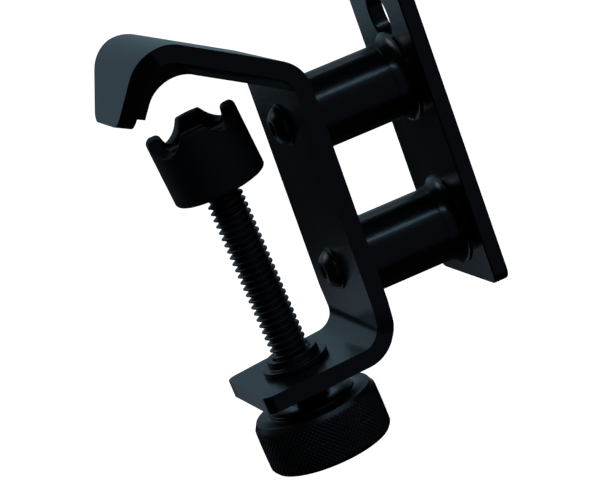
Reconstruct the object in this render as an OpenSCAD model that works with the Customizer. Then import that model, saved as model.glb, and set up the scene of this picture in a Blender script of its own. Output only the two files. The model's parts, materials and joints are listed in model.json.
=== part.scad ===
// Desk and tube C-clamp with a swivel pad, a knurled knob and a stand-off
// mounting plate for a cup holder. Origin: centre of the round plate hole,
// on the plate's outer face. +X points out of the plate, +Z up the spine.

/* [Mounting plate] */
// Width of the plate
plate_w = 31.5; // [26:0.5:38]
// Thickness of the plate
plate_t = 3.4; // [2:0.1:5]
// Plate above the round hole's centre
plate_above = 12; // [9:0.5:20]
// Plate below the round hole's centre
plate_below = 57.5; // [54:0.5:64]
// Corner radius of the plate
plate_corner_r = 2.5; // [1:0.5:5]
// Diameter of the round mounting hole
plate_hole_d = 11; // [6:0.5:14]

/* [Clamp bar] */
// Width of the flat bar at the spine
bar_w = 32.5; // [28:0.5:36]
// Thickness of the flat bar
bar_t = 3.6; // [3:0.1:5]
// Outer radius of the three bends
bend_r = 8; // [6:0.5:10]
// Angle of the upper arm above level
arm_angle = 30.3; // [20:0.1:40]
// Upper arm, between its two outer corners
arm_len = 34.4; // [30:0.1:38]
// Angle of the hook above level
hook_angle = 62.4; // [55:0.1:70]
// Hook, from its outer corner to its tip
hook_len = 18.4; // [15:0.1:22]
// Width of the hook at its tip
hook_tip_w = 16.5; // [12:0.5:24]
// Width of the lower arm where it leaves the bend
lower_arm_w = 29; // [26:0.5:32]
// Width of the lower arm at its end
lower_end_w = 26; // [22:0.5:29]
// Lower arm beyond the screw's axis
lower_reach = 12; // [9:0.5:16]
// Thickness of the rubber liner in the hook
liner_t = 1.8; // [1:0.1:3]

/* [Stand-off] */
// Diameter of the two spacers
spacer_d = 16; // [12:0.5:20]
// Length of the two spacers
spacer_len = 22.8; // [16:0.1:30]
// Height of the lower bolt above the lower arm
lower_bolt_z = 15.3; // [13:0.1:20]
// Distance between the two bolts
bolt_pitch = 31.6; // [26:0.1:36]
// Spread of each spacer's flared collar, at the plate
collar_flare = 1.6; // [0.5:0.1:2.5]
// Height of the collars
collar_h = 3.5; // [2:0.1:6]
// Diameter of the bolt's shank
bolt_d = 4; // [3:0.5:6]
// Diameter of the bolt's button head
bolt_head_d = 8; // [7:0.1:11]

/* [Screw and pad] */
// Spine face to the screw's axis, at the lower arm
throat = 14.55; // [12:0.05:18]
// Lean of the screw towards the hook
screw_tilt = 3.45; // [0:0.05:6]
// Outer diameter of the screw's thread
thread_d = 7.94; // [6:0.01:10]
// Pitch of the thread
thread_pitch = 1.411; // [1:0.001:2]
// Height of the pad's base above the lower arm
pad_base = 40.3; // [34:0.1:40.5]
// Diameter of the pad
pad_d = 19.8; // [16:0.1:22]
// Height of the pad, with its four lobes
pad_h = 15; // [14.5:0.1:17]
// Extra lean of the pad on its ball
pad_lean = 3.2; // [0:0.1:5]
// Turn of the pad's lobes about its own axis
pad_turn = -15; // [-45:1:45]

/* [Knob] */
// Diameter of the knob
knob_d = 26.7; // [20:0.1:30]
// Height of the knob
knob_h = 10.8; // [9:0.1:16]
// Lower arm's top to the knob's top
knob_drop = 8.6; // [8.2:0.1:12]

/* [Hidden] */
$fn = 64;

clearance = 0.05;
spine_x = -plate_t - spacer_len;          // outer face of the spine
jaw_x = spine_x - bar_t;                  // face of the spine that meets the desk
screw_x = jaw_x - throat;
arm_z = -60;                              // top of the lower arm at the screw
lower_z = arm_z + lower_bolt_z;
upper_z = lower_z + bolt_pitch;
bolt_hole_d = bolt_d + 0.5;
half_bar = bar_w / 2;

// outer corners of the bent bar, seen from the side as [x, z]
spine_top = [spine_x, -0.35];
hook_top = spine_top - arm_len * [cos(-arm_angle), sin(-arm_angle)];
hook_tip = hook_top - hook_len * [cos(hook_angle), sin(hook_angle)];
lower_slope = tan(screw_tilt);
spine_foot = [spine_x, arm_z - bar_t / cos(screw_tilt) + (spine_x - screw_x) * lower_slope];
lower_end = [screw_x, arm_z] - lower_reach * [cos(screw_tilt), sin(screw_tilt)]
    - bar_t * [-sin(screw_tilt), cos(screw_tilt)];
bar_path = [hook_tip, hook_top, spine_top, spine_foot, lower_end];
bar_bends = [0, bend_r, bend_r, bend_r, 0];
tip_gap = 2.2;                            // steel left bare at the hook's tip
tip_r = 3;                                // rounded corners of hook and arm
taper_z = arm_z + 9;                      // the bar narrows below this height

bush_hole_d = 10;
bush_flange = [14, 1.2];                  // diameter, height
bush_collar = [11, 1.7];
ring_size = [13, 1.5];
bush_bore_d = thread_d + 2 * clearance;

thread_depth = 0.8;
core_d = thread_d - 2 * thread_depth;
neck_d = 4;
neck_z = pad_base - 1;                    // foot of the neck, above the thread's cone
clip_z = neck_z + 0.95;
clip_t = 0.5;
groove_d = 3;
ball_d = 6.4;
ball_z = pad_base + 5;
seat_d = 8.6;
seat_mouth = 55;                          // half angle of the seat's mouth
cup_d = 14.4;
cup_top = 4.9;                            // above the ball's centre
cup_foot = -3.7;
ring_top = -2.3;
knob_hub = 1;                             // small step on top of the knob
set_screw_d = 3;
set_screw_z = -knob_drop - knob_h / 2;
shank_foot = set_screw_z - 4;             // the screw's end inside the knob

washer_t = 0.5;
bolt_reach = 10;                          // each bolt's length inside its spacer

function unit(v) = v / norm(v);
function inward(a, b) = let (u = unit(b - a)) [u[1], -u[0]];

// one rounded corner at b, between a and c
function corner(a, b, c, r) = let (
    u = unit(a - b), v = unit(c - b),
    half = acos(u * v) / 2,
    centre = b + unit(u + v) * r / sin(half),
    s = b + u * r / tan(half) - centre,
    e = b + v * r / tan(half) - centre,
    a0 = atan2(s[1], s[0]),
    sweep = (atan2(e[1], e[0]) - a0 + 900) % 360 - 180,
    n = ceil(abs(sweep) / 6))
    [for (i = [0:n]) centre + r * [cos(a0 + sweep * i / n), sin(a0 + sweep * i / n)]];

function rounded(p, r) = let (n = len(p)) [for (i = [0:n - 1])
    each (r[i] > 0 ? corner(p[(i + n - 1) % n], p[i], p[(i + 1) % n], r[i]) : [p[i]])];

// the bar's path, moved inwards by d
function inset(path, d) = let (n = len(path)) [for (i = [0:n - 1]) let (
    n0 = inward(path[max(i - 1, 0)], path[max(i, 1)]),
    n1 = inward(path[min(i, n - 2)], path[min(i + 1, n - 1)]))
    path[i] + d * (n0 + n1) / (1 + n0 * n1)];

function reversed(p) = [for (i = [len(p) - 1:-1:0]) p[i]];

module side_view(width) rotate([90, 0, 0]) linear_extrude(width, center = true) children();
module on_screw() translate([screw_x, 0, arm_z]) rotate([0, -screw_tilt, 0]) children();
module on_pad() on_screw() translate([0, 0, ball_z]) rotate([0, -pad_lean, 0]) children();
module on_bolt(z, x) translate([x, 0, z]) rotate([0, 90, 0]) children();
module both_sides() for (side = [0, 1]) mirror([0, side, 0]) children();

module bar_outline() polygon(rounded(
    concat(bar_path, reversed(inset(bar_path, bar_t))),
    concat(bar_bends, reversed([for (r = bar_bends) max(r - bar_t, 0)]))));

// what the narrowing hook loses on one side
module hook_cut() translate([hook_top[0], 0, hook_top[1]]) rotate([0, 180 - hook_angle, 0])
    translate([0, 0, -1]) linear_extrude(bend_r + 1) difference() {
        translate([2, 0]) square([hook_len, bar_w]);
        polygon(rounded([[-1, 0], [-1, half_bar + 1.5], [hook_len, hook_tip_w / 2], [hook_len, 0]],
            [0, 0, tip_r, 0]));
    }

// what the narrowing lower arm loses on one side
module lower_cut() {
    translate([lower_end[0] - 1, 0, 0]) rotate([90, 0, 90]) linear_extrude(spine_x - lower_end[0] + 2)
        polygon([[half_bar, taper_z], [lower_arm_w / 2, arm_z + 1], [lower_arm_w / 2, arm_z - 9],
            [bar_w, arm_z - 9], [bar_w, taper_z]]);
    translate([0, 0, arm_z - 9]) linear_extrude(11) difference() {
        translate([lower_end[0] - 1, 0]) square([spine_x - lower_end[0] - bend_r, bar_w]);
        polygon(rounded([[lower_end[0], 0], [lower_end[0], lower_end_w / 2],
            [spine_x - bend_r, lower_arm_w / 2], [spine_x, 0]], [0, tip_r, 0, 0]));
    }
}

module clamp_frame() color([0.08, 0.09, 0.11]) difference() {
    side_view(bar_w) bar_outline();
    both_sides() hook_cut();
    both_sides() lower_cut();
    on_screw() translate([0, 0, -8]) cylinder(d = bush_hole_d, h = 12);
    for (z = [lower_z, upper_z]) on_bolt(z, jaw_x - 1) cylinder(d = bolt_hole_d, h = bar_t + 2);
}

module jaw_liner() color([0.13, 0.13, 0.14]) {
    core = inset(bar_path, bar_t / 2);
    face = inset(bar_path, bar_t + liner_t);
    into_bar = unit(hook_top - hook_tip) * tip_gap;
    foot_x = jaw_x + bar_t / 2;
    foot_z = face[2][1] + (face[2][0] - foot_x) * tan(arm_angle);
    core_r = bend_r - bar_t / 2;
    difference() {
        side_view(bar_w - 0.4) difference() {
            polygon(rounded([core[0] + into_bar, core[1], core[2], [foot_x, foot_z], face[1], face[0] + into_bar],
                [0, core_r, core_r, 0, bend_r - 1, 0]));
            bar_outline();
        }
        both_sides() hook_cut();
    }
}

module mounting_plate() color([0.09, 0.10, 0.12]) difference() {
    translate([-plate_t, 0, 0]) rotate([90, 0, 90]) linear_extrude(plate_t) polygon(rounded(
        [[-plate_w / 2, -plate_below], [plate_w / 2, -plate_below],
            [plate_w / 2, plate_above], [-plate_w / 2, plate_above]],
        [for (i = [0:3]) plate_corner_r]));
    on_bolt(0, -plate_t - 1) cylinder(d = plate_hole_d, h = plate_t + 2);
}

module spacer(z) color([0.07, 0.08, 0.10]) on_bolt(z, spine_x) difference() {
    cylinder(d = spacer_d, h = spacer_len);
    translate([0, 0, -1]) cylinder(d = bolt_d + 2 * clearance, h = bolt_reach + 1.5);
}

// ring that flares from the spacer's end onto the back of the plate
module collar(z) color([0.08, 0.09, 0.11]) on_bolt(z, -plate_t - collar_h) difference() {
    r = spacer_d / 2 + 0.15;
    rise = collar_h - 0.4;
    rotate_extrude() polygon(concat([[r - 1, 0], [r - 1, collar_h], [r + collar_flare, collar_h]],
        [for (a = [0:10:90]) [r + collar_flare * (1 - sin(a)), rise * cos(a)]]));
    translate([0, 0, -1]) cylinder(d = spacer_d, h = collar_h + 2);
}

module bolt(z) color([0.06, 0.06, 0.07]) on_bolt(z, jaw_x - washer_t) {
    head_h = bolt_head_d * 0.29;
    dome_r = (pow(bolt_head_d / 2, 2) + head_h * head_h) / (2 * head_h);
    difference() {
        intersection() {
            translate([0, 0, dome_r - head_h]) sphere(r = dome_r);
            translate([0, 0, -head_h - 1]) cylinder(d = bolt_head_d, h = head_h + 1);
        }
        translate([0, 0, -head_h - 1]) cylinder(d = bolt_d * 0.72, h = head_h * 0.6 + 1, $fn = 6);
    }
    cylinder(d = bolt_d, h = washer_t + bar_t + bolt_reach);
}

module washer(z) color([0.16, 0.16, 0.17]) on_bolt(z, jaw_x - washer_t) difference() {
    cylinder(d = bolt_d * 2.25, h = washer_t);
    translate([0, 0, -1]) cylinder(d = bolt_d + 0.3, h = washer_t + 2);
}

module threaded_bush() color([0.10, 0.11, 0.13]) on_screw() difference() {
    union() {
        translate([0, 0, -bar_t - ring_size[1]]) cylinder(d = bush_hole_d, h = bar_t + ring_size[1]);
        cylinder(d = bush_flange[0], h = bush_flange[1]);
        translate([0, 0, bush_flange[1]]) cylinder(d = bush_collar[0], h = bush_collar[1]);
    }
    translate([0, 0, -bar_t - ring_size[1] - 1])
        cylinder(d = bush_bore_d, h = bar_t + ring_size[1] + bush_flange[1] + bush_collar[1] + 2);
}

module bush_ring() color([0.10, 0.11, 0.13]) on_screw() translate([0, 0, -bar_t - ring_size[1]]) difference() {
    cylinder(d = ring_size[0], h = ring_size[1]);
    translate([0, 0, -1]) cylinder(d = bush_hole_d, h = ring_size[1] + 2);
}

// snap ring that turns freely in the neck's groove, just inside the pad
module neck_clip() color([0.18, 0.18, 0.19]) on_screw() translate([0, 0, clip_z]) difference() {
    cylinder(d = 5, h = clip_t);
    translate([0, 0, -1]) cylinder(d = groove_d + 2 * clearance, h = 3);
    translate([0, -groove_d / 2 + 0.2, -1]) cube([5, groove_d - 0.4, 3]);
}

// ridges of the thread, from the knob up to the shoulder
module clamp_screw() color([0.08, 0.08, 0.09]) on_screw() {
    thread_foot = -knob_drop + knob_hub + 0.2;
    cone_z = neck_z - 1.3;
    turns = floor((cone_z - thread_foot) / thread_pitch);
    rotate_extrude() polygon(concat(
        [[0, shank_foot], [core_d / 2, shank_foot], [core_d / 2, thread_foot]],
        [for (i = [0:turns - 1], k = [0:3]) [
            (k == 1 || k == 2) ? thread_d / 2 : core_d / 2,
            thread_foot + thread_pitch * (i + [0, 0.42, 0.54, 0.96][k])]],
        [[core_d / 2, cone_z], [neck_d / 2, neck_z],
            [neck_d / 2, clip_z - clearance], [groove_d / 2, clip_z - clearance],
            [groove_d / 2, clip_z + clip_t + clearance], [neck_d / 2, clip_z + clip_t + clearance],
            [neck_d / 2, ball_z - sqrt(pow(ball_d / 2, 2) - pow(neck_d / 2, 2))]],
        [for (a = [-50:10:90]) [ball_d / 2 * cos(a), ball_z + ball_d / 2 * sin(a)]]));
}

module knob() color([0.07, 0.07, 0.08]) on_screw() difference() {
    r = knob_d / 2;
    translate([0, 0, -knob_drop - knob_h]) rotate_extrude($fn = 96) polygon([[0, 0], [r - 0.8, 0],
        [r, 1], [r, knob_h - 1.6], [r - 0.9, knob_h], [r - 3.8, knob_h], [r - 3.9, knob_h + knob_hub],
        [0, knob_h + knob_hub]]);
    translate([0, 0, shank_foot]) cylinder(d = core_d, h = knob_h + knob_hub);
    translate([0, 0, set_screw_z]) rotate([-90, 0, 0]) cylinder(d = set_screw_d, h = knob_d);
}

// socket set screw, on the side away from the front
module knob_set_screw() color([0.14, 0.14, 0.15]) on_screw() translate([0, 0, set_screw_z])
    rotate([-90, 0, 0]) difference() {
        cylinder(d = set_screw_d, h = knob_d / 2 - 1);
        rotate([90, 0, 0]) cylinder(d = core_d, h = set_screw_d + 2, center = true);
        translate([0, 0, knob_d / 2 - 3]) cylinder(d = set_screw_d * 0.55, h = 3, $fn = 6);
    }

module ball_seat() color([0.75, 0.75, 0.72]) on_screw() translate([0, 0, ball_z]) difference() {
    sphere(d = seat_d);
    sphere(d = ball_d + 2 * clearance);
    mouth = seat_d * tan(seat_mouth);
    translate([0, 0, -seat_d]) cylinder(r1 = mouth, r2 = 0, h = seat_d);
}

module socket_cup() color([0.12, 0.12, 0.13]) on_pad() difference() {
    translate([0, 0, cup_foot]) cylinder(d = cup_d, h = cup_top - cup_foot);
    sphere(d = seat_d + 2 * clearance);
    translate([0, 0, cup_foot - 1]) cylinder(d = seat_d + 2 * clearance, h = 1 - cup_foot);
    translate([0, 0, cup_foot - 1]) cylinder(d = 11.2, h = ring_top - cup_foot + 1);
}

module socket_ring() color([0.15, 0.15, 0.16]) on_pad() difference() {
    translate([0, 0, cup_foot]) cylinder(d = 11.2, h = ring_top - cup_foot);
    translate([0, 0, cup_foot - 1]) cylinder(d = 6.2, h = 4);
    sphere(d = seat_d + 2 * clearance);
}

// rubber crown: four lobes stand on the rim, one on each side of the cup
module swivel_pad() color([0.10, 0.10, 0.11]) on_pad() rotate([0, 0, pad_turn]) {
    foot = pad_base - ball_z;
    rim = foot + pad_h;
    notch = 3.4;
    difference() {
        translate([0, 0, foot]) rotate_extrude() polygon(rounded(
            [[0, 0], [pad_d / 2, 0], [pad_d / 2, pad_h], [0, pad_h]], [0, 0.8, 1, 0]));
        translate([0, 0, foot - 1]) cylinder(d = cup_d, h = cup_top - foot + 1);
        translate([0, 0, cup_top + 1.4]) cylinder(d = pad_d - 6, h = pad_h);
        for (a = [45, 135]) rotate([0, 0, a]) translate([0, 0, rim + 1.6])
            rotate([90, 0, 0]) cylinder(d = 2 * (notch + 1.6), h = pad_d + 2, center = true);
    }
}

module upper_spacer() spacer(upper_z);
module lower_spacer() spacer(lower_z);
module upper_bolt() bolt(upper_z);
module lower_bolt() bolt(lower_z);
module upper_washer() washer(upper_z);
module lower_washer() washer(lower_z);
module upper_collar() collar(upper_z);
module lower_collar() collar(lower_z);

clamp_frame();
jaw_liner();
mounting_plate();
upper_spacer();
lower_spacer();
upper_bolt();
lower_bolt();
upper_washer();
lower_washer();
upper_collar();
lower_collar();
threaded_bush();
bush_ring();
neck_clip();
clamp_screw();
knob();
knob_set_screw();
ball_seat();
socket_cup();
socket_ring();
swivel_pad();
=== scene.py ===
import json
from math import asin, atan2, ceil, copysign, cos, hypot, pi, radians, sin, sqrt, tan

import bmesh
import bpy
from mathutils import Matrix, Vector


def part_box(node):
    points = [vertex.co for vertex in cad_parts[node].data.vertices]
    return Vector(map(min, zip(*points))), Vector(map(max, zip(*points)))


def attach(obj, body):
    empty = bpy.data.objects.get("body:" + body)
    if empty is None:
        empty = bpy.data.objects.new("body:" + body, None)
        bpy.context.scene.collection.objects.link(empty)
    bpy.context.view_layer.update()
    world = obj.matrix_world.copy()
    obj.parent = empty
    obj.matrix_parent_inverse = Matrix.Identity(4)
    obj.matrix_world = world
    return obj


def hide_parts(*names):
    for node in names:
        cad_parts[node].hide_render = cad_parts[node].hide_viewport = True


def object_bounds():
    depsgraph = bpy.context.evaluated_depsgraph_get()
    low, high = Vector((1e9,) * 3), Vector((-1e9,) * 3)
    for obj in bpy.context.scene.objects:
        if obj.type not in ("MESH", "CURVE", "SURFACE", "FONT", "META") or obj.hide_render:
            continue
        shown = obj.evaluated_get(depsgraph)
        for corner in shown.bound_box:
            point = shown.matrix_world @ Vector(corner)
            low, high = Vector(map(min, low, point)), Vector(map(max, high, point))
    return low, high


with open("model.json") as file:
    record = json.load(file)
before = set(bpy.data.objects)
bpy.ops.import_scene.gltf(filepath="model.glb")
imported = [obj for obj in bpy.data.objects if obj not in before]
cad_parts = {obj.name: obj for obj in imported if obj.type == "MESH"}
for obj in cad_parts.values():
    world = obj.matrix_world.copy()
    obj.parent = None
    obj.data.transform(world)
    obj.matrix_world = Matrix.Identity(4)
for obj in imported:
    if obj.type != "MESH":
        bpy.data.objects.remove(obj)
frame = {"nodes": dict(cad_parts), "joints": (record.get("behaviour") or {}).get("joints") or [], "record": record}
cadLow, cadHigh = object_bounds()
print("frame loaded:", len(frame["nodes"]), "nodes")

mm = 0.001
across = Vector((0, 1, 0))       # from one side of the bent bar to the other
joints = {joint["name"]: joint for joint in frame["joints"]}
mounts = {mount["name"]: mount for mount in frame["record"]["mounts"]}


# places, all in millimetres until makePiece

def axisPlace(origin, direction):
    # local Z runs along the direction, and local Y stays level across the bar
    z = Vector(direction).normalized()
    x = across.cross(z)
    return Matrix.Translation(origin) @ Matrix((x, z.cross(x), z)).transposed().to_4x4()


def corners(node):
    low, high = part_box(node)
    return low / mm, high / mm


def spanAlong(node, place):
    # a node's lowest and highest point along an axis, and its largest radius about it
    local = [place.inverted() @ (v.co / mm) for v in frame["nodes"][node].data.vertices]
    heights = [p.z for p in local]
    return min(heights), max(heights), max(hypot(p.x, p.y) for p in local)


screwPlace = axisPlace(Vector(joints["screw_turn"]["pos_m"]) / mm, joints["screw_turn"]["axis"])
ballPoint = Vector(joints["pad_tilt_x"]["pos_m"]) / mm
ballHeight = (screwPlace.inverted() @ ballPoint).z


# mesh helpers

def vertsOf(made, key="geom"):
    return [e for e in made[key] if isinstance(e, bmesh.types.BMVert)]


def edgesOf(made, key="geom"):
    return [e for e in made[key] if isinstance(e, bmesh.types.BMEdge)]


def lathe(bm, outline, steps=96, closed=True):
    # turns a half section, given as (radius, height) pairs, about the upright axis
    verts = [bm.verts.new((r, 0, z)) for r, z in outline]
    edges = [bm.edges.new(pair) for pair in zip(verts, verts[1:])]
    if closed:
        edges.append(bm.edges.new((verts[-1], verts[0])))
    bmesh.ops.spin(bm, geom=verts + edges, cent=(0, 0, 0), axis=(0, 0, 1), angle=2 * pi, steps=steps,
                   use_merge=True)
    bmesh.ops.remove_doubles(bm, verts=bm.verts, dist=0.001)


def arc(radius, height, start, end, steps):
    # part of a circle on the axis at that height; 0 degrees is level and 90 is up
    return [(radius * cos(radians(start + (end - start) * i / steps)),
             height + radius * sin(radians(start + (end - start) * i / steps))) for i in range(steps + 1)]


def ring(bm, radius, height, count, turn=0.0):
    made = bmesh.ops.create_circle(bm, segments=count, radius=radius, cap_ends=False,
                                   matrix=Matrix.Translation((0, 0, height)) @ Matrix.Rotation(turn, 4, "Z"))
    return list({edge for vert in made["verts"] for edge in vert.link_edges})


def grow(bm, edges, outline):
    # carries an open loop on through rings of (radius, height), and closes it at radius 0
    for radius, height in outline:
        made = bmesh.ops.extrude_edge_only(bm, edges=edges)
        for vert in vertsOf(made):
            out = Vector((vert.co.x, vert.co.y)).normalized() * radius
            vert.co = (out.x, out.y, height)
        edges = edgesOf(made)
    return edges


def openLoop(bm, height):
    # the loose edge loop at one height
    return [e for e in bm.edges if e.is_boundary and all(abs(v.co.z - height) < 0.01 for v in e.verts)]


def bentChain(bm, points, radii, steps=14):
    # walks one vertex from corner to corner and round each bend, in the side view
    here = bm.verts.new(points[0])
    for before, corner, after, radius in zip(points, points[1:], points[2:], radii):
        first, second = (corner - before).normalized(), (after - corner).normalized()
        turn = first.angle(second)
        side = copysign(1, first.cross(second).dot(across))
        here = bmesh.ops.extrude_vert_indiv(bm, verts=[here])["verts"][0]
        here.co = corner - first * radius * tan(turn / 2)
        centre = here.co + across.cross(first) * side * radius
        spun = bmesh.ops.spin(bm, geom=[here], cent=centre, axis=across, angle=side * turn, steps=steps)
        here = vertsOf(spun, "geom_last")[0]
    here = bmesh.ops.extrude_vert_indiv(bm, verts=[here])["verts"][0]
    here.co = points[-1]


def inset(points, depth):
    # the same path, moved towards the jaw
    moved = []
    for i, point in enumerate(points):
        sides = [across.cross((b - a).normalized()) for a, b in
                 ((points[max(i - 1, 0)], points[max(i, 1)]),
                  (points[min(i, len(points) - 2)], points[min(i + 1, len(points) - 1)]))]
        moved.append(point + depth * (sides[0] + sides[1]) / (1 + sides[0].dot(sides[1])))
    return moved


def pierce(bm, centre, normal, radius, reach, count=48):
    # opens a round hole in a flat part of a sheet, inside a square cell of its own
    along = across.cross(normal).normalized()
    for direction in (along, across):
        for side in (-1, 1):
            flat = [f for f in bm.faces if all(abs((v.co - centre).dot(normal)) < 0.01 for v in f.verts)]
            geom = set(flat) | {e for f in flat for e in f.edges} | {v for f in flat for v in f.verts}
            bmesh.ops.bisect_plane(bm, geom=list(geom), dist=0.0001, plane_co=centre + direction * side * reach,
                                   plane_no=direction)
    cell = min((f for f in bm.faces if abs((f.calc_center_median() - centre).dot(normal)) < 0.01),
               key=lambda f: (f.calc_center_median() - centre).length)
    square = list(cell.edges)
    bmesh.ops.delete(bm, geom=[cell], context="FACES_ONLY")
    bmesh.ops.subdivide_edges(bm, edges=square, cuts=count // 4 - 1)
    rim = [e for e in bm.edges if e.is_boundary and all(
        max(abs((v.co - centre).dot(along)), abs((v.co - centre).dot(across))) < reach + 0.01
        and abs((v.co - centre).dot(normal)) < 0.01 for v in e.verts)]
    turned = Matrix((along, across, along.cross(across))).transposed().to_4x4()
    made = bmesh.ops.create_circle(bm, segments=count, radius=radius, cap_ends=False,
                                   matrix=Matrix.Translation(centre) @ turned @ Matrix.Rotation(pi / 4, 4, "Z"))
    hole = list({e for v in made["verts"] for e in v.link_edges})
    bmesh.ops.bridge_loops(bm, edges=rim + hole)


def makePiece(name, bm, body, finish, nodes, place=None, edge=0.0, crease=35):
    # moves a mesh to its place, turns millimetres into metres, and gives it to its body
    bmesh.ops.remove_doubles(bm, verts=bm.verts, dist=0.001)
    if place:
        bmesh.ops.transform(bm, matrix=place, verts=bm.verts)
    bmesh.ops.recalc_face_normals(bm, faces=bm.faces)
    bmesh.ops.scale(bm, vec=(mm, mm, mm), verts=bm.verts)
    mesh = bpy.data.meshes.new(name)
    bm.to_mesh(mesh)
    bm.free()
    mesh.shade_smooth()
    piece = bpy.data.objects.new(name, mesh)
    bpy.context.scene.collection.objects.link(piece)
    mesh.materials.append(finish)
    if edge:
        soften = piece.modifiers.new("softEdges", "BEVEL")
        soften.width, soften.segments = edge * mm, 3
        soften.limit_method, soften.angle_limit = "ANGLE", radians(crease)
        soften.harden_normals = True
    else:
        mesh.set_sharp_from_angle(angle=radians(crease))
    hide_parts(*nodes)
    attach(piece, body)
    return piece


# finishes

class Wire:
    # one socket of a finish, so that a sum written on it adds its Math nodes
    def __init__(self, finish, socket):
        self.finish, self.socket = finish, socket

    def calc(self, operation, first, second):
        return self.finish.node("ShaderNodeMath", {"operation": operation}, {0: first, 1: second})

    def __add__(self, other):
        return self.calc("ADD", self, other)

    def __mul__(self, other):
        return self.calc("MULTIPLY", self, other)

    __radd__, __rmul__ = __add__, __mul__


class Finish:
    def __init__(self, name):
        self.material = bpy.data.materials.new(name)
        self.material.use_nodes = True
        self.tree = self.material.node_tree
        self.tree.nodes.clear()

    def node(self, kind, settings=None, sockets=None, out=0):
        made = self.tree.nodes.new(kind)
        for key, value in (settings or {}).items():
            if key == "stops":
                for stop, (position, colour) in zip(made.color_ramp.elements, value):
                    stop.position, stop.color = position, colour
            else:
                setattr(made, key, value)
        for key, value in (sockets or {}).items():
            if isinstance(value, Wire):
                self.tree.links.new(value.socket, made.inputs[key])
            else:
                made.inputs[key].default_value = value
        return Wire(self, made.outputs[out])

    def noise(self, scale, detail):
        # scale counts the grains in a metre
        coord = self.node("ShaderNodeTexCoord", out="Object")
        return self.node("ShaderNodeTexNoise", sockets={"Vector": coord, "Scale": scale, "Detail": detail})

    def blend(self, factor, first, second):
        return self.node("ShaderNodeMix", {"data_type": "RGBA"},
                         {0: factor, 6: (*first, 1), 7: (*second, 1)}, out=2)

    def within(self, value, low, high):
        # a number carried from 0..1 to low..high
        return self.node("ShaderNodeMapRange", sockets={0: value, 3: low, 4: high})

    def surface(self, bumps=(), **sockets):
        normal = None
        for height, distance in bumps:
            links = {"Height": height, "Distance": distance, "Strength": 1.0}
            if normal:
                links["Normal"] = normal
            normal = self.node("ShaderNodeBump", sockets=links)
        values = {key.replace("_", " "): value for key, value in sockets.items()}
        if normal:
            values["Normal"] = normal
        shader = self.node("ShaderNodeBsdfPrincipled", sockets=values)
        output = self.tree.nodes.new("ShaderNodeOutputMaterial")
        self.tree.links.new(shader.socket, output.inputs["Surface"])
        return self.material


def coatedSteel():
    # satin powder coat: fine orange peel, a little dust and slow changes of gloss
    coat = Finish("satinCoat")
    peel, cloud, grit = coat.noise(900, 2), coat.noise(60, 3), coat.noise(4200, 1)
    colour = coat.blend(cloud, (0.0030, 0.0033, 0.0045), (0.0045, 0.0050, 0.0065))
    return coat.surface([(peel, 0.00002), (grit, 0.000004)], Base_Color=colour,
                        Roughness=coat.within(cloud * 0.7 + grit * 0.3, 0.19, 0.27))


def blackOxide():
    steel = Finish("blackOxide")
    cloud, fine = steel.noise(180, 3), steel.noise(2500, 2)
    colour = steel.blend(cloud, (0.006, 0.006, 0.007), (0.012, 0.012, 0.013))
    return steel.surface([(fine, 0.000004)], Base_Color=colour, Roughness=steel.within(cloud, 0.24, 0.38))


def wornAndGlintOxide(name, wearAndGlint):
    # black oxide whose crests, marked on the mesh, are painted brighter: partly rubbed wear, partly a painted glint
    steel = Finish(name)
    crest = steel.node("ShaderNodeAttribute", {"attribute_name": "crest"}, out="Fac")
    cloud, fine = steel.noise(400, 3), steel.noise(2500, 2)
    # the brighter crest tone is partly wear and partly a painted glint standing in for light caught on the crests
    colour = steel.blend(crest * cloud * wearAndGlint, (0.006, 0.006, 0.007), (0.050, 0.052, 0.058))
    return steel.surface([(fine, 0.000004)], Base_Color=colour, Roughness=steel.within(cloud, 0.26, 0.40))


def mouldedRubber():
    rubber = Finish("mouldedRubber")
    cloud, grain = rubber.noise(120, 3), rubber.noise(3000, 2)
    colour = rubber.blend(cloud, (0.0035, 0.0035, 0.0045), (0.0055, 0.0055, 0.0065))
    return rubber.surface([(grain, 0.000012)], Base_Color=colour, Roughness=rubber.within(grain, 0.55, 0.75))


def plainNylon():
    nylon = Finish("plainNylon")
    cloud, grain = nylon.noise(200, 2), nylon.noise(2000, 2)
    colour = nylon.blend(cloud, (0.50, 0.49, 0.45), (0.58, 0.57, 0.53))
    return nylon.surface([(grain, 0.000006)], Base_Color=colour, Roughness=nylon.within(grain, 0.38, 0.5),
                         Subsurface_Weight=0.05)


satinCoat, oxide, rubber, nylon = coatedSteel(), blackOxide(), mouldedRubber(), plainNylon()
# thread and knurl crests carry wear and a painted glint
threadFinish, knurlFinish = wornAndGlintOxide("threadSteel", 0.9), wornAndGlintOxide("knurledBlack", 0.5)
print("finishes made")


# the bent bar, its liner and the mounting plate

barValues = {
    "thickness": 3.6, "bend": 8.0,                   # the bends' outer radius
    "armAngle": 30.3, "armLength": 34.4, "armTop": -0.35,
    "hookAngle": 62.4, "hookLength": 18.4, "hookTipWidth": 16.5, "hookFlare": 1.5,
    "lowerWidth": 29.0, "lowerEndWidth": 26.0, "lowerReach": 12.0, "taperRise": 9.0,
    "corner": 3.0, "cornerShare": 0.75, "edge": 0.4,     # the bevel's share gives the rounded corner
    "boltHole": 2.25, "boltCell": 4.0, "bushHole": 5.0, "bushCell": 7.0,
}
barLow, barHigh = corners("clamp_frame")
halfBar = barHigh.y
spineX = corners("upper_spacer")[0].x                # the spine's outer face
screwFoot = screwPlace.translation                   # where the screw crosses the lower arm's top
screwUp = screwPlace.col[2].to_3d()
screwSide = screwPlace.col[0].to_3d()
armDown = Vector((cos(radians(barValues["armAngle"])), 0, -sin(radians(barValues["armAngle"]))))
hookDown = Vector((-cos(radians(barValues["hookAngle"])), 0, -sin(radians(barValues["hookAngle"]))))
spineTop = Vector((spineX, 0, barValues["armTop"]))
hookTop = spineTop - armDown * barValues["armLength"]
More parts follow.
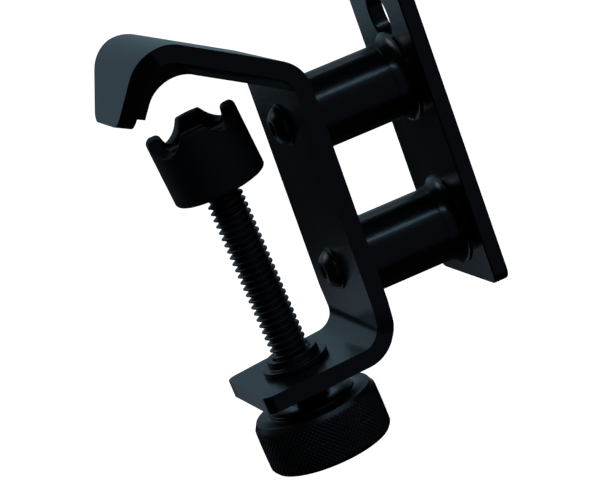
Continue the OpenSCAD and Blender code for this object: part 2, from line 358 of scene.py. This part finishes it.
hookTip = hookTop + hookDown * barValues["hookLength"]
lowerEnd = screwFoot - screwSide * barValues["lowerReach"] - screwUp * barValues["thickness"]
spineFoot = lowerEnd + screwSide * (spineX - lowerEnd.x) / screwSide.x
barPath = [hookTip, hookTop, spineTop, spineFoot, lowerEnd]


def halfWidth(point, shy=0.0):
    # half of the bar's width at a point of its side view
    v = barValues
    width = halfBar
    if point.x < hookTop.x + v["bend"] and point.z > hookTip.z - v["bend"]:
        down = (point - hookTop).dot(hookDown)
        slope = (halfBar + v["hookFlare"] - v["hookTipWidth"] / 2) / (v["hookLength"] + 1)
        width = min(width, halfBar + v["hookFlare"] - slope * (down + 1))
    elif point.z < screwFoot.z + v["taperRise"]:
        rise = max(point.z - screwFoot.z - 1, 0) / (v["taperRise"] - 1)
        width = v["lowerWidth"] / 2 + (halfBar - v["lowerWidth"] / 2) * rise
        run = (spineX - v["bend"] - point.x) / (spineX - v["bend"] - lowerEnd.x)
        width -= (v["lowerWidth"] - v["lowerEndWidth"]) / 2 * max(run, 0)
    return width - shy


def narrow(bm, shy=0.0):
    for vert in bm.verts:
        vert.co.y = copysign(min(abs(vert.co.y), halfWidth(vert.co, shy)), vert.co.y)


def bentBar():
    v = barValues
    bm = bmesh.new()
    bentChain(bm, barPath, [v["bend"]] * 3)
    made = bmesh.ops.extrude_edge_only(bm, edges=bm.edges[:])
    bmesh.ops.translate(bm, verts=bm.verts, vec=-across * halfBar)
    bmesh.ops.translate(bm, verts=vertsOf(made), vec=across * halfBar * 2)
    bmesh.ops.bisect_plane(bm, geom=bm.verts[:] + bm.edges[:] + bm.faces[:], dist=0.0001,
                           plane_co=(0, 0, screwFoot.z + v["taperRise"]), plane_no=(0, 0, 1))
    narrow(bm)
    for end, run in ((hookTip, hookDown), (lowerEnd, -screwSide)):
        tips = [vert for vert in bm.verts if abs((vert.co - end).dot(run)) < 0.01
                and (vert.co - end).length < halfBar + 1]
        bmesh.ops.bevel(bm, geom=tips, offset=v["corner"] * v["cornerShare"], affect="VERTICES", segments=8,
                        profile=0.5, material=-1)
    for node in ("lower_bolt", "upper_bolt"):
        low, high = corners(node)
        pierce(bm, Vector((spineX, 0, (low.z + high.z) / 2)), Vector((1, 0, 0)), v["boltHole"], v["boltCell"])
    pierce(bm, screwFoot - screwUp * v["thickness"], -screwUp, v["bushHole"], v["bushCell"])
    bmesh.ops.recalc_face_normals(bm, faces=bm.faces)
    spine = max(bm.faces, key=lambda f: f.calc_area())
    bmesh.ops.solidify(bm, geom=bm.faces[:], thickness=copysign(v["thickness"], spine.normal.x))
    return makePiece("bentBar", bm, "frame", satinCoat, ["clamp_frame"], edge=v["edge"])


linerValues = {"thickness": 1.8, "gap": 2.2, "bend": 7.0, "shy": 0.3, "edge": 0.25}


def gripLiner():
    # rubber strip that lines the hook and the arm, with a fuller curve in the corner
    v = linerValues
    bm = bmesh.new()
    steel = inset(barPath, barValues["thickness"])
    face = inset(barPath, barValues["thickness"] + v["thickness"])
    wallX = steel[2].x
    start = (hookTop - hookTip).normalized() * v["gap"]
    reach = (wallX - face[1].x) / armDown.x
    bentChain(bm, [steel[0] + start, steel[1], steel[2]], [barValues["bend"] - barValues["thickness"]])
    bentChain(bm, [face[0] + start, face[1], face[1] + armDown * reach], [v["bend"]])
    bmesh.ops.bridge_loops(bm, edges=bm.edges[:])
    made = bmesh.ops.extrude_face_region(bm, geom=bm.faces[:])
    bmesh.ops.translate(bm, verts=bm.verts, vec=-across * halfBar)
    bmesh.ops.translate(bm, verts=vertsOf(made), vec=across * halfBar * 2)
    narrow(bm, v["shy"])
    return makePiece("gripLiner", bm, "frame", rubber, ["jaw_liner"], edge=v["edge"])


plateValues = {"corner": 2.5, "edge": 0.45, "holeCell": 7.0, "holeSteps": 64}


def mountPlate():
    v = plateValues
    low, high = corners("mounting_plate")
    bm = bmesh.new()
    middle = Vector((high.x, 0, (low.z + high.z) / 2))
    size = Matrix.Diagonal((1, high.y, (high.z - low.z) / 2, 1))
    bmesh.ops.create_grid(bm, x_segments=1, y_segments=1, size=1,
                          matrix=Matrix.Translation(middle) @ size @ Matrix.Rotation(pi / 2, 4, "Y"))
    bmesh.ops.bevel(bm, geom=bm.verts[:], offset=v["corner"], affect="VERTICES", segments=8, profile=0.5,
                    material=-1)
    hole = mounts["plate_hole"]
    pierce(bm, Vector(hole["pos_m"]) / mm, Vector((1, 0, 0)), hole["dims"]["r_mm"], v["holeCell"], v["holeSteps"])
    bmesh.ops.recalc_face_normals(bm, faces=bm.faces)
    bmesh.ops.solidify(bm, geom=bm.faces[:], thickness=copysign(high.x - low.x, bm.faces[:][0].normal.x))
    return makePiece("mountPlate", bm, "frame", satinCoat, ["mounting_plate"], edge=v["edge"])


bentBar()
gripLiner()
mountPlate()
print("bent bar, liner and plate made")


# spacers, collars, bolts and washers

def boltPlace(node):
    low, high = corners(node)
    return axisPlace((low.x, 0, (low.z + high.z) / 2), (1, 0, 0)), high.x - low.x, (high.y - low.y) / 2


spacerValues = {"bore": 2.05, "boreDepth": 10.5, "drillPoint": 0.6, "chamfer": 0.35, "edge": 0.12}
collarValues = {"gap": 0.15, "flare": 1.6, "lip": 0.4, "edge": 0.08}


def spacer(name, node):
    # post with a blind bore for its bolt, on the spine's side
    v = spacerValues
    place, length, radius = boltPlace(node)
    bm = bmesh.new()
    lathe(bm, [(0, v["boreDepth"] + v["drillPoint"]), (v["bore"], v["boreDepth"]), (v["bore"], 0),
               (radius - v["chamfer"], 0), (radius, v["chamfer"]), (radius, length), (0, length)], 128, closed=False)
    return makePiece(name, bm, "frame", satinCoat, [node], place, edge=v["edge"])


def collar(name, node, radius):
    # ring that flares from the spacer onto the back of the plate
    v = collarValues
    place, height, _ = boltPlace(node)
    inner, rise = radius + v["gap"], height - v["lip"]
    bm = bmesh.new()
    lathe(bm, [(radius, 0), (radius, height), (inner + v["flare"], height)]
          + [(inner + v["flare"] * (1 - sin(pi / 24 * i)), rise * cos(pi / 24 * i)) for i in range(13)], 128)
    return makePiece(name, bm, "frame", satinCoat, [node], place, edge=v["edge"])


def hexSocket(bm, flats, rim, height, depth, count=48):
    # a flat ring round a hexagon key socket; gives back the ring's outer loop
    corner = flats / 2 / cos(pi / 6)
    hexagon = ring(bm, corner, height, 6)
    bmesh.ops.subdivide_edges(bm, edges=hexagon, cuts=count // 6 - 1)
    hexagon = [e for e in bm.edges if e.is_boundary or e.is_wire]
    outer = ring(bm, rim, height, count)
    bmesh.ops.bridge_loops(bm, edges=hexagon + outer)
    inner = [e for e in bm.edges if e.is_boundary
             and all(hypot(v.co.x, v.co.y) < corner + 0.01 for v in e.verts)]
    made = bmesh.ops.extrude_edge_only(bm, edges=inner)
    bmesh.ops.translate(bm, verts=vertsOf(made), vec=(0, 0, -depth))
    floor = edgesOf(made)
    grow(bm, floor, [(0, height - depth - flats * 0.15)])
    return [e for e in bm.edges if e.is_boundary]


def threadedRod(bm, length, crest, core, pitch, limit, steps=48):
    # a right-hand thread: one tooth carried round and up, then held inside limit(height)
    tooth = [(core, 0), (crest, 0.35), (crest, 0.475), (core, 0.825), (core, 1)]
    low, high = length
    turns = ceil((high - low) / pitch) + 2
    verts = [bm.verts.new((r, 0, low + (z - 1) * pitch)) for r, z in tooth]
    edges = [bm.edges.new(pair) for pair in zip(verts, verts[1:])]
    bmesh.ops.spin(bm, geom=verts + edges, cent=(0, 0, 0), axis=(0, 0, 1), dvec=(0, 0, pitch / steps),
                   angle=2 * pi * turns, steps=steps * turns)
    bmesh.ops.remove_doubles(bm, verts=bm.verts, dist=0.01)
    for vert in bm.verts:
        radius = hypot(vert.co.x, vert.co.y)
        keep = min(radius, limit(vert.co.z)) / radius
        vert.co.x, vert.co.y = vert.co.x * keep, vert.co.y * keep
    for height, side in ((low, -1), (high, 1)):
        bmesh.ops.bisect_plane(bm, geom=bm.verts[:] + bm.edges[:] + bm.faces[:], dist=0.0001,
                               plane_co=(0, 0, height), plane_no=(0, 0, side), clear_outer=True)


boltValues = {"shank": 2.0, "core": 1.6, "pitch": 0.7, "threadLength": 9.0, "socket": 2.9, "socketDepth": 1.4,
              "head": 4.0, "headHeight": 2.32, "flat": 2.3, "relief": 0.4}


def bolt(name, node, seat):
    # button head with a hexagon socket on the jaw side, and its thread inside the spacer
    v = boltValues
    place, length, _ = boltPlace(node)
    head, rise, flat = v["head"], v["headHeight"], v["flat"]
    dome = (head * head + rise * rise) / (2 * rise)
    start, end = (90 - asin(r / dome) * 180 / pi for r in (flat, head))
    sunk = dome * sin(radians(start))
    plain = length - v["threadLength"]
    bm = bmesh.new()
    top = hexSocket(bm, v["socket"], flat, 0, v["socketDepth"])
    grow(bm, top, [(r, z - sunk) for r, z in arc(dome, 0, start, end, 10)][1:]
         + [(head, -seat), (v["shank"], -seat), (v["shank"], -plain),
            (v["core"], -plain - v["relief"]), (0, -plain - v["relief"])])
    bmesh.ops.rotate(bm, verts=bm.verts, matrix=Matrix.Rotation(pi, 3, "X"))

    def limit(z):
        return max(min(v["shank"], v["core"] + (z - plain) * 1.2, v["core"] - 0.1 + (length - z)), 0.2)

    rod = bmesh.new()
    threadedRod(rod, (plain + 0.05, length - 0.01), v["shank"], v["core"], v["pitch"], limit, 32)
    for height in (plain + 0.05, length - 0.01):
        grow(rod, openLoop(rod, height), [(0, height)])
    extra = bpy.data.meshes.new("rod")
    rod.to_mesh(extra)
    rod.free()
    bm.from_mesh(extra)
    bpy.data.meshes.remove(extra)
    return makePiece(name, bm, "frame", oxide, [node], place)


washerValues = {"bore": 2.2, "edge": 0.12}


def washer(name, node):
    place, height, radius = boltPlace(node)
    bore = washerValues["bore"]
    bm = bmesh.new()
    lathe(bm, [(bore, 0), (radius, 0), (radius, height), (bore, height)])
    return makePiece(name, bm, "frame", oxide, [node], place, edge=washerValues["edge"])


for level in ("lower", "upper"):
    spacer(level + "Spacer", level + "_spacer")
    collar(level + "Collar", level + "_collar", corners(level + "_spacer")[1].y)
    bolt(level + "Bolt", level + "_bolt", corners(level + "_washer")[0].x - corners(level + "_bolt")[0].x)
    washer(level + "Washer", level + "_washer")
print("spacers, collars, bolts and washers made")


# bush, screw and knob, all on the screw's axis with height 0 at the lower arm's top

bushValues = {"flange": 7.0, "flangeHeight": 1.2, "collar": 5.5, "bore": 4.02, "body": 5.0,
              "topLead": 0.45, "footLead": 0.3, "edge": 0.18}


def bush():
    v = bushValues
    low, high, _ = spanAlong("threaded_bush", screwPlace)
    bm = bmesh.new()
    lathe(bm, [(v["bore"] + v["topLead"], high), (v["collar"], high), (v["collar"], v["flangeHeight"]),
               (v["flange"], v["flangeHeight"]), (v["flange"], 0), (v["body"], 0), (v["body"], low),
               (v["bore"] + v["footLead"], low), (v["bore"], low + v["footLead"]),
               (v["bore"], high - v["topLead"])], 128)
    return makePiece("threadedBush", bm, "frame", oxide, ["threaded_bush"], screwPlace,
                     edge=v["edge"])


def bushRing():
    low, high, radius = spanAlong("bush_ring", screwPlace)
    body = bushValues["body"]
    bm = bmesh.new()
    lathe(bm, [(body, low), (radius, low), (radius, high), (body, high)], 128)
    return makePiece("bushRing", bm, "frame", oxide, ["bush_ring"], screwPlace,
                     edge=bushValues["edge"])


screwValues = {"crest": 3.97, "core": 3.17, "pitch": 1.411, "neck": 2.0, "groove": 1.5, "cone": 1.3,
               "neckDrop": 6.0, "clipRise": 0.95, "clipHeight": 0.5, "clipRoom": 0.05, "clipRadius": 2.5,
               "clipShy": 0.06, "clipOpening": 84, "ball": 3.2, "coreShy": 0.02, "runOut": 2.0}
knobValues = {"radius": 13.35, "height": 10.8, "top": -8.6, "hub": 9.3, "hubHeight": 1.0, "starts": 80,
              "depth": 0.32, "barrel": 0.12, "rows": 68, "steps": 640, "topChamfer": (0.9, 1.6),
              "footChamfer": (0.8, 1.0), "shankDepth": 4.0, "setHole": 1.55, "dish": (6.8, 7.2, 0.25),
              "footRim": 0.6, "topRim": 0.3, "hubCove": 0.4, "hubEdge": 0.3, "recess": (1.25, 0.85),
              "recessDepth": 0.4}
hubTop = knobValues["top"] + knobValues["hubHeight"]
setHeight = knobValues["top"] - knobValues["height"] / 2
shankFoot = setHeight - knobValues["shankDepth"]


def markCrests(bm, height):
    # keeps how far each point stands up in the pattern, for the finish to read
    layer = bm.verts.layers.float.new("crest")
    for vert in bm.verts:
        vert[layer] = height(vert.co)


def clampScrew():
    v = screwValues
    neckFoot = ballHeight - v["neckDrop"]
    threadFoot = hubTop - knobValues["recessDepth"]
    core = v["core"] - v["coreShy"]

    def limit(z):
        if z > neckFoot - v["cone"]:
            return v["crest"] - (v["crest"] - v["neck"]) * (z - neckFoot + v["cone"]) / v["cone"]
        return max(min(v["crest"], core + (z - threadFoot) * v["runOut"]), core)

    bm = bmesh.new()
    threadedRod(bm, (threadFoot, neckFoot), v["crest"], v["core"], v["pitch"], limit, 72)
    clipFoot = neckFoot + v["clipRise"] - v["clipRoom"]
    clipTop = clipFoot + v["clipHeight"] + 2 * v["clipRoom"]
    ballFoot = -90 + asin(v["neck"] / v["ball"]) * 180 / pi
    grow(bm, openLoop(bm, neckFoot), [(v["neck"], clipFoot), (v["groove"], clipFoot), (v["groove"], clipTop),
                                      (v["neck"], clipTop)] + arc(v["ball"], ballHeight, ballFoot, 90, 20))
    grow(bm, openLoop(bm, threadFoot), [(core, shankFoot), (0, shankFoot)])
    markCrests(bm, lambda p: max(0, (hypot(p.x, p.y) - v["core"]) / (v["crest"] - v["core"])))
    return makePiece("clampScrew", bm, "screw", threadFinish, ["clamp_screw"], screwPlace,
                     crease=40)


def ridge(x):
    # a saw-tooth wave: 0 on a ridge, 1 in a groove
    return abs((x % 1) * 2 - 1)


def knurledKnob():
    v = knobValues
    top, foot = v["top"], v["top"] - v["height"]
    side = [(v["radius"], foot + v["height"] * i / v["rows"]) for i in range(v["rows"] + 1)]
    outer, inner = v["radius"] - v["footChamfer"][0], v["radius"] - v["topChamfer"][0]
    bore, recessFoot, hubEdge = screwValues["core"], hubTop - v["recessDepth"], v["hubEdge"]
    dishInner, dishOuter, dishDepth = v["dish"]
    recessOuter, recessInner = v["recess"]
    bm = bmesh.new()
    lathe(bm, [(0, foot + dishDepth), (dishInner, foot + dishDepth), (dishOuter, foot), (outer - v["footRim"], foot)]
          + side + [(inner - v["topRim"], top), (v["hub"] + v["hubCove"], top), (v["hub"], top + hubEdge),
                    (v["hub"], hubTop - hubEdge), (v["hub"] - hubEdge, hubTop), (bore + recessOuter, hubTop),
                    (bore + recessInner, recessFoot), (bore + 0.01, recessFoot), (bore + 0.01, shankFoot),
                    (0, shankFoot)], v["steps"], closed=False)
    layer = bm.verts.layers.float.new("crest")
    for vert in bm.verts:
        radius = hypot(vert.co.x, vert.co.y)
        if radius < v["radius"] - 0.01:
            continue
        turn = atan2(vert.co.y, vert.co.x) / (2 * pi) * v["starts"]
        lift = (vert.co.z - foot) / (2 * pi * v["radius"]) * v["starts"]
        groove = max(ridge(turn + lift), ridge(turn - lift))
        bulge = v["barrel"] * ((vert.co.z - foot) / v["height"] * 2 - 1) ** 2
        knurled = v["radius"] - bulge - v["depth"] * groove ** 1.2
        fromTop, fromFoot = top - vert.co.z, vert.co.z - foot
        smooth = min(v["radius"] - v["topChamfer"][0] * (1 - fromTop / v["topChamfer"][1]),
                     v["radius"] - v["footChamfer"][0] * (1 - fromFoot / v["footChamfer"][1]))
        keep = min(knurled, smooth) / radius
        vert.co.x, vert.co.y = vert.co.x * keep, vert.co.y * keep
        vert[layer] = 1 - groove
    hole = v["setHole"]
    near = [f for f in bm.faces if f.calc_center_median().y > bore + 2 and all(
        hypot(w.co.x, w.co.z - setHeight) < hole + 0.06 for w in f.verts)]
    bmesh.ops.delete(bm, geom=near, context="FACES")
    rim = [e for e in bm.edges if e.is_boundary and e.verts[0].co.y > bore + 2]
    for vert in {w for e in rim for w in e.verts}:
        reach = hypot(vert.co.x, vert.co.z - setHeight)
        vert.co.x *= hole / reach
        vert.co.z = setHeight + (vert.co.z - setHeight) * hole / reach
    made = bmesh.ops.extrude_edge_only(bm, edges=rim)
    for vert in vertsOf(made):
        vert.co.y = bore + 0.5
    bmesh.ops.contextual_create(bm, geom=edgesOf(made))
    return makePiece("knurledKnob", bm, "screw", knurlFinish, ["knob"], screwPlace, crease=50)


setScrewValues = {"radius": 1.5, "socket": 1.5, "socketDepth": 1.6, "sunk": 1.0}


def setScrew():
    v = setScrewValues
    length = knobValues["radius"] - v["sunk"]
    bm = bmesh.new()
    top = hexSocket(bm, v["socket"], 1.15, length, v["socketDepth"])
    grow(bm, top, [(v["radius"] - 0.02, length - 0.3), (v["radius"] - 0.02, screwValues["core"] + 0.6),
                   (v["radius"] - 0.6, screwValues["core"]), (0, screwValues["core"])])
    place = screwPlace @ Matrix.Translation((0, 0, setHeight)) @ Matrix.Rotation(-pi / 2, 4, "X")
    return makePiece("knobSetScrew", bm, "screw", oxide, ["knob_set_screw"], place)


def neckClip():
    # snap ring in the neck's groove, open on one side
    v = screwValues
    low = ballHeight - v["neckDrop"] + v["clipRise"]
    bm = bmesh.new()
    high, inner = low + v["clipHeight"], v["groove"] + v["clipShy"]
    section = bm.faces.new([bm.verts.new((r, 0, z)) for r, z in (
        (inner, low), (v["clipRadius"], low), (v["clipRadius"], high), (inner, high))])
    bmesh.ops.rotate(bm, verts=bm.verts, matrix=Matrix.Rotation(radians(v["clipOpening"] / 2), 3, "Z"))
    bmesh.ops.spin(bm, geom=[section], cent=(0, 0, 0), axis=(0, 0, 1), angle=radians(360 - v["clipOpening"]),
                   steps=60)
    return makePiece("neckClip", bm, "neck", oxide, ["neck_clip"], screwPlace, edge=0.06)


bush()
bushRing()
clampScrew()
knurledKnob()
setScrew()
neckClip()
print("bush, screw and knob made")


# the ball joint and the crown-shaped pad, about the ball's centre

padValues = {"lean": 3.2, "turn": -15.0, "radius": 9.9, "foot": -5.0, "height": 15.0, "bore": 7.2, "cupTop": 4.9,
             "notch": 3.4, "notchRound": 1.6, "shoulder": 1.0, "stretchZone": 2.2,      # the lobes round the rim
             "floor": 1.4, "cove": 0.5, "crown": 6.9, "footEdge": 0.8, "rimEdge": 1.0, "steps": 240}
seatValues = {"outer": 4.3, "inner": 3.25, "mouth": 55.0}
cupValues = {"radius": 7.2, "foot": -3.7, "socket": 4.35, "ringTop": -2.3, "ringRadius": 5.6, "ringBore": 3.1,
             "ringLip": 0.2, "ringCove": 0.3, "edge": 0.5, "fit": 0.02}
ballPlace = Matrix.Translation(ballPoint) @ screwPlace.to_3x3().to_4x4()
padPlace = ballPlace @ Matrix.Rotation(radians(-padValues["lean"]), 4, "Y")


def ballSeat():
    v = seatValues
    bm = bmesh.new()
    lathe(bm, arc(v["outer"], 0, v["mouth"] - 90, 90, 24) + arc(v["inner"], 0, 90, v["mouth"] - 90, 24), 96)
    return makePiece("ballSeat", bm, "seat", nylon, ["ball_seat"], ballPlace, crease=50)


def socketCup():
    v = cupValues
    level = asin(v["ringTop"] / v["socket"]) * 180 / pi
    top = padValues["cupTop"]
    bm = bmesh.new()
    outer, seat = v["radius"] - v["fit"], v["ringRadius"] + v["fit"]
    lathe(bm, [(0, top), (v["radius"] - v["edge"], top), (outer, top - v["edge"]), (outer, v["foot"]),
               (seat, v["foot"]), (seat, v["ringTop"])] + arc(v["socket"], 0, level, 90, 20), 96, closed=False)
    return makePiece("socketCup", bm, "pad", oxide, ["socket_cup"], padPlace, crease=40)


def socketRing():
    # ring under the seat, whose upper corner follows the socket's sphere
    v = cupValues
    bore, cove = v["ringBore"], v["ringBore"] + v["ringCove"]
    bm = bmesh.new()
    lathe(bm, [(bore, v["foot"] + v["ringLip"]), (bore + v["ringLip"], v["foot"]), (v["ringRadius"], v["foot"]),
               (v["ringRadius"], v["ringTop"]), (sqrt(v["socket"] ** 2 - v["ringTop"] ** 2), v["ringTop"]),
               (cove, -sqrt(v["socket"] ** 2 - cove ** 2)), (bore, -sqrt(v["socket"] ** 2 - bore ** 2))], 96)
    return makePiece("socketRing", bm, "pad", oxide, ["socket_ring"], padPlace, edge=0.08)


def crownHeight(turn):
    # how far the rim stands below the lobes' tops, round the pad, with softened shoulders
    v = padValues
    reach = v["notch"] + v["notchRound"]
    away = (turn - pi / 4) % (pi / 2)
    aside = min(away, pi / 2 - away) * v["radius"]
    drop = sqrt(max(reach ** 2 - aside ** 2, 0)) - v["notchRound"] - max(aside - reach, 0)
    return (drop + hypot(drop, v["shoulder"])) / 2


def swivelPad():
    # a plain cup is turned first, and then its rim is lowered between the lobes
    v = padValues
    foot, rim = v["foot"], v["foot"] + v["height"]
    floor, bend, edge, cove = v["cupTop"] + v["floor"], v["footEdge"], v["rimEdge"], v["cove"]
    low = rim - v["notch"] - v["stretchZone"]
    wall = [low + (rim - edge - low) * i / 8 for i in range(9)]
    outline = [(v["bore"], foot), (v["radius"] - bend, foot)]
    outline += [(v["radius"] - bend + r, foot + bend + z) for r, z in arc(bend, 0, -80, 0, 6)]
    outline += [(v["radius"], z) for z in wall]
    outline += [(v["radius"] - edge + r, rim - edge + z) for r, z in arc(edge, 0, 15, 90, 5)]
    outline += [(v["crown"] + edge - r, rim - edge + z) for r, z in arc(edge, 0, 90, 0, 6)]
    outline += [(v["crown"], z) for z in reversed(wall[:-1])]
    outline += [(v["crown"], floor + cove), (v["crown"] - cove, floor), (0, floor), (0, v["cupTop"]),
                (v["bore"], v["cupTop"])]
    bm = bmesh.new()
    lathe(bm, outline, v["steps"])
    for vert in bm.verts:
        if vert.co.z > low + 0.001:
            share = (vert.co.z - low) / (rim - low)
            vert.co.z -= crownHeight(atan2(vert.co.y, vert.co.x)) * share
    place = padPlace @ Matrix.Rotation(radians(v["turn"]), 4, "Z")
    return makePiece("swivelPad", bm, "pad", rubber, ["swivel_pad"], place, crease=50)


ballSeat()
socketCup()
socketRing()
swivelPad()
print("ball joint and pad made")


# floor, light and camera

studioValues = {
    "floorDrop": 0.25, "floorSize": 30.0, "floorGlow": 1.1, "worldGlow": 0.008,
    "floorShade": 0.88, "floorGloss": 0.9, "worldTint": (0.9, 0.97, 1, 1),
    "panels": (          # place, aim, width, height, brightness and colour: dim screens behind, a thin one above
        ("upperBack", (-0.05, 0.25, 0.15), (-0.05, 0.0, 0.15), 0.60, 0.40, 0.27, (0.50, 0.80, 1.0)),
        ("armBack", (0.06, 0.25, -0.07), (0.06, 0.0, -0.07), 0.14, 0.12, 0.80, (0.55, 0.80, 1.0)),
        ("lowerLeftBack", (-0.225, 0.25, -0.19), (-0.225, 0.0, -0.19), 0.27, 0.16, 0.24, (0.58, 0.78, 1.0)),
        ("overhead", (0.22, -0.58, 0.61), (-0.03, 0.0, -0.02), 0.80, 0.045, 7.0, (0.50, 0.80, 1.0)),
        ("rearLeft", (-0.80, 0.75, 0.95), (0.0, 0.0, -0.02), 0.70, 0.70, 1.5, (0.80, 0.92, 1.0)),
        ("rearRight", (0.75, 0.85, 0.95), (0.0, 0.0, -0.02), 0.70, 0.70, 0.5, (0.80, 0.92, 1.0)),
        ("front", (0.35, -1.45, -0.05), (0.0, 0.0, -0.02), 2.4, 2.4, 0.085, (0.62, 0.68, 1.0)),
    ),
}
centre = (cadLow + cadHigh) / 2


def bearing(azimuth, elevation):
    # azimuth 0 is in front of the object, and 90 to its right
    a, e = radians(azimuth), radians(elevation)
    return Vector((sin(a) * cos(e), -cos(a) * cos(e), sin(e)))


def paleFloor():
    bm = bmesh.new()
    bmesh.ops.create_grid(bm, x_segments=1, y_segments=1, size=studioValues["floorSize"] / 2,
                          matrix=Matrix.Translation((centre.x, centre.y, cadLow.z - studioValues["floorDrop"])))
    mesh = bpy.data.meshes.new("paleFloor")
    bm.to_mesh(mesh)
    bm.free()
    floor = bpy.data.objects.new("paleFloor", mesh)
    bpy.context.scene.collection.objects.link(floor)
    paper = Finish("palePaper")
    shade = studioValues["floorShade"]
    mesh.materials.append(paper.surface(Base_Color=(shade, shade, shade, 1), Roughness=studioValues["floorGloss"],
                                        Emission_Color=(1, 1, 1, 1), Emission_Strength=studioValues["floorGlow"]))
    floor.visible_glossy = floor.visible_diffuse = floor.visible_shadow = False    # it leaves the black parts black


def softLight():
    for name, place, aim, width, height, glow, colour in studioValues["panels"]:
        light = bpy.data.lights.new(name, "AREA")
        light.shape, light.size, light.size_y = "RECTANGLE", width, height
        light.energy, light.color = glow * pi * width * height, colour
        panel = bpy.data.objects.new(name, light)
        panel.location = place
        panel.rotation_euler = (Vector(place) - Vector(aim)).to_track_quat("Z", "Y").to_euler()
        panel.visible_camera = False
        bpy.context.scene.collection.objects.link(panel)
    world = bpy.data.worlds.new("studio")
    world.use_nodes = True
    tree = world.node_tree
    tree.nodes.clear()
    path, mix = tree.nodes.new("ShaderNodeLightPath"), tree.nodes.new("ShaderNodeMixShader")
    room, wall = tree.nodes.new("ShaderNodeBackground"), tree.nodes.new("ShaderNodeBackground")
    out = tree.nodes.new("ShaderNodeOutputWorld")
    room.inputs["Color"].default_value = studioValues["worldTint"]          # what the parts see
    room.inputs["Strength"].default_value = studioValues["worldGlow"]
    wall.inputs["Color"].default_value = (1, 1, 1, 1)                       # what the camera sees
    tree.links.new(path.outputs["Is Camera Ray"], mix.inputs[0])
    tree.links.new(room.outputs[0], mix.inputs[1])
    tree.links.new(wall.outputs[0], mix.inputs[2])
    tree.links.new(mix.outputs[0], out.inputs["Surface"])
    bpy.context.scene.world = world


cameraValues = {"place": (-0.21478, -0.67262, 0.12438), "azimuth": -14.98, "elevation": 13.01, "roll": 19.73,
                "lens": 211.16, "sensor": 36.0, "reach": (0.01, 100)}


def addCamera():
    v = cameraValues
    lens = bpy.data.cameras.new("camera")
    lens.lens, lens.sensor_width = v["lens"], v["sensor"]
    lens.clip_start, lens.clip_end = v["reach"]
    camera = bpy.data.objects.new("camera", lens)
    back = bearing(v["azimuth"], v["elevation"])
    right = Vector((cos(radians(v["azimuth"])), sin(radians(v["azimuth"])), 0))
    level = Matrix((right, back.cross(right), back)).transposed().to_4x4()
    camera.matrix_world = Matrix.Translation(v["place"]) @ level @ Matrix.Rotation(-radians(v["roll"]), 4, "Z")
    bpy.context.scene.collection.objects.link(camera)
    bpy.context.scene.camera = camera


paleFloor()
softLight()
addCamera()
bpy.context.scene.view_settings.view_transform = "Standard"
print("studio made")
